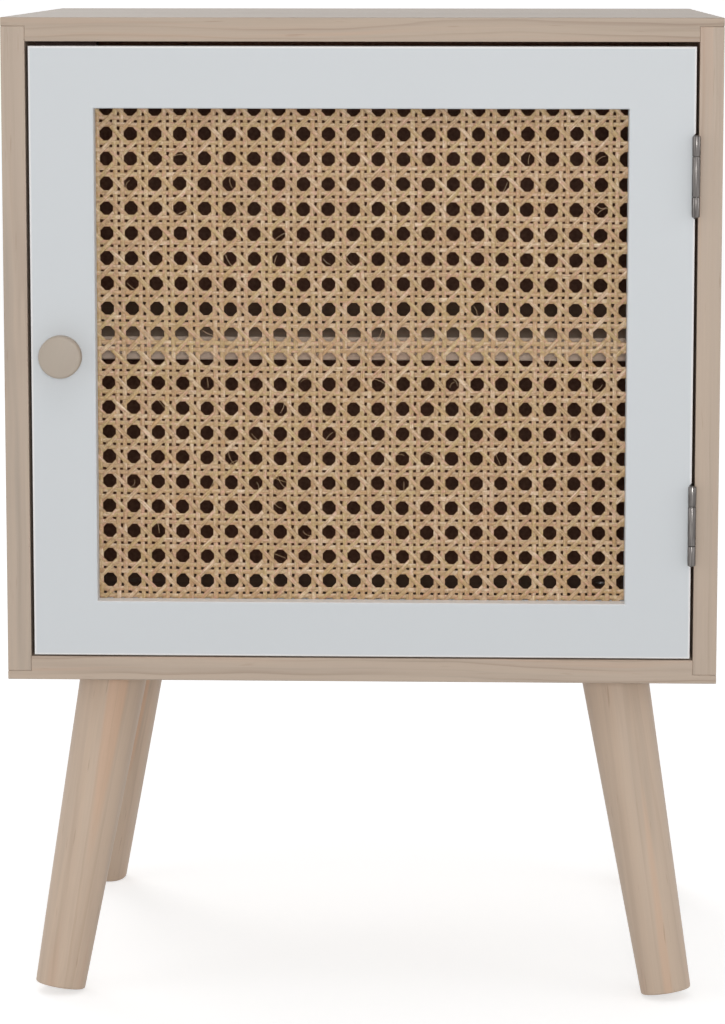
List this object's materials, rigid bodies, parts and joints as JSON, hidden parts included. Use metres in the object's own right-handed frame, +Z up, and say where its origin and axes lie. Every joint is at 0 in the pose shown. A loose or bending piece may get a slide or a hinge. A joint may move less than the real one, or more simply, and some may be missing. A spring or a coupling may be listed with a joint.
{
  "type": "storage side table with door",
  "caption": "Small cabinet side table on splayed round legs, with a shelf and a hinged white door panelled in woven cane and a round wooden knob.",
  "frame": {"origin": "on the ground, midway between the side panels and midway between the knob's face and the cabinet's back", "axes": "+Z up, the door faces -Y, +X towards the hinges"},
  "size_m": [0.42, 0.32, 0.5905],
  "materials": {
    "pine_board": "whitewashed, satin",
    "pine_leg": "whitewashed, satin",
    "knob_wood": "whitewashed, satin",
    "white_paint": "satin white paint on fibreboard",
    "cane": "natural, semi-gloss",
    "back_board": "plain fibreboard",
    "dowel_beech": "bare",
    "hinge_steel": "nickel plated",
    "zinc_steel": "zinc plated",
    "catch_plastic": "moulded",
    "magnet_ferrite": "sintered"
  },
  "bodies": {
    "cabinet": {"top_panel": "pine_board", "bottom_panel": "pine_board", "left_side_panel": "pine_board", "right_side_panel": "pine_board", "back_panel": "back_board", "back_panel_nails": "zinc_steel", "carcass_dowels": "dowel_beech", "shelf": "pine_board", "shelf_pins": "zinc_steel", "front_left_leg": "pine_leg", "front_right_leg": "pine_leg", "rear_left_leg": "pine_leg", "rear_right_leg": "pine_leg", "leg_hanger_bolts": "zinc_steel", "leg_t_nuts": "zinc_steel", "upper_hinge_cabinet_leaf": "hinge_steel", "lower_hinge_cabinet_leaf": "hinge_steel", "upper_hinge_pin": "hinge_steel", "lower_hinge_pin": "hinge_steel", "hinge_cabinet_screws": "zinc_steel", "catch_body": "catch_plastic", "catch_magnet": "magnet_ferrite", "catch_pole_plates": "zinc_steel", "catch_screws": "zinc_steel"},
    "door": {"door_frame": "white_paint", "cane_panel": "cane", "upper_cane_strip": "white_paint", "lower_cane_strip": "white_paint", "left_cane_strip": "white_paint", "right_cane_strip": "white_paint", "cane_strip_brads": "zinc_steel", "door_knob": "knob_wood", "knob_screw": "zinc_steel", "upper_hinge_door_leaf": "hinge_steel", "lower_hinge_door_leaf": "hinge_steel", "hinge_door_screws": "zinc_steel", "catch_strike_plate": "zinc_steel", "strike_screws": "zinc_steel"}
  },
  "joints": [
    {"name": "door_hinge", "type": "hinge", "parent": "cabinet", "child": "door", "pos_m": [0.1944, -0.1427, 0.3945], "axis": [0, 0, 1], "range_deg": [0, 180]}
  ]
}
